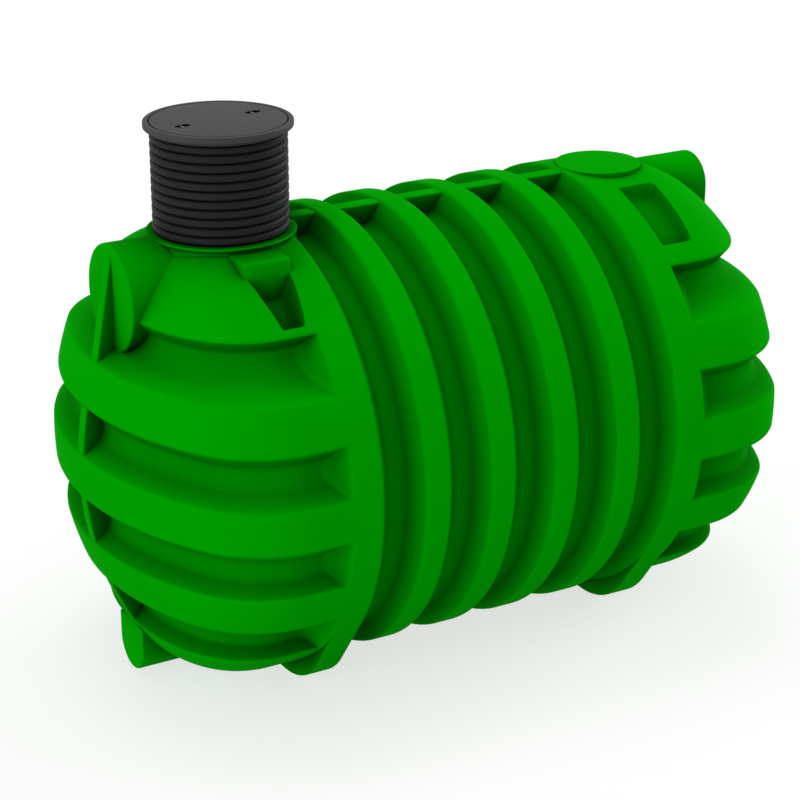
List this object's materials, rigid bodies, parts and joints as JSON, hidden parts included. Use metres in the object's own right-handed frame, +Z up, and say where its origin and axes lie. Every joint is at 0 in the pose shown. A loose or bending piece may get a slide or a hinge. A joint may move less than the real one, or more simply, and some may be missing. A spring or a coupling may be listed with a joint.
{
  "type": "underground water tank",
  "caption": "Horizontal underground water tank with a ringed barrel, ribbed domed ends, pipe stubs and a corrugated manway riser under a lift-out cover.",
  "frame": {"origin": "floor level under the middle of the tank", "axes": "+X along the tank away from the manway, +Y to its left, +Z up"},
  "size_m": [3.4968, 2.1, 2.587],
  "materials": {
    "green_shell": "moulded, slightly soft sheen",
    "black_riser": "extruded, satin",
    "grey_cover": "moulded, fine grain",
    "steel_bar": "dull"
  },
  "bodies": {
    "tank": {"access_pad": "green_shell", "cover_frame": "grey_cover", "front_fin": "green_shell", "front_foot": "green_shell", "front_hood_left": "green_shell", "front_hood_right": "green_shell", "front_lower_rib": "green_shell", "front_middle_rib": "green_shell", "front_sole": "green_shell", "front_spine": "green_shell", "front_upper_rib": "green_shell", "inlet_boss": "green_shell", "manway_collar": "green_shell", "manway_riser": "black_riser", "outlet_boss": "green_shell", "pocket_shelves": "green_shell", "rear_fin": "green_shell", "rear_foot": "green_shell", "rear_hood_left": "green_shell", "rear_hood_right": "green_shell", "rear_lower_rib": "green_shell", "rear_middle_rib": "green_shell", "rear_sole": "green_shell", "rear_spine": "green_shell", "rear_upper_rib": "green_shell", "ring_1": "green_shell", "ring_2": "green_shell", "ring_3": "green_shell", "ring_4": "green_shell", "ring_5": "green_shell", "ring_6": "green_shell", "top_bars": "green_shell", "waist_1": "green_shell", "waist_2": "green_shell", "waist_3": "green_shell", "waist_4": "green_shell", "waist_5": "green_shell"},
    "cover": {"cover_lid": "grey_cover", "lift_bars": "steel_bar"}
  },
  "joints": [
    {"name": "cover_lift", "type": "slide", "parent": "tank", "child": "cover", "axis": [0, 0, 1], "range_m": [0, 0.3]}
  ]
}
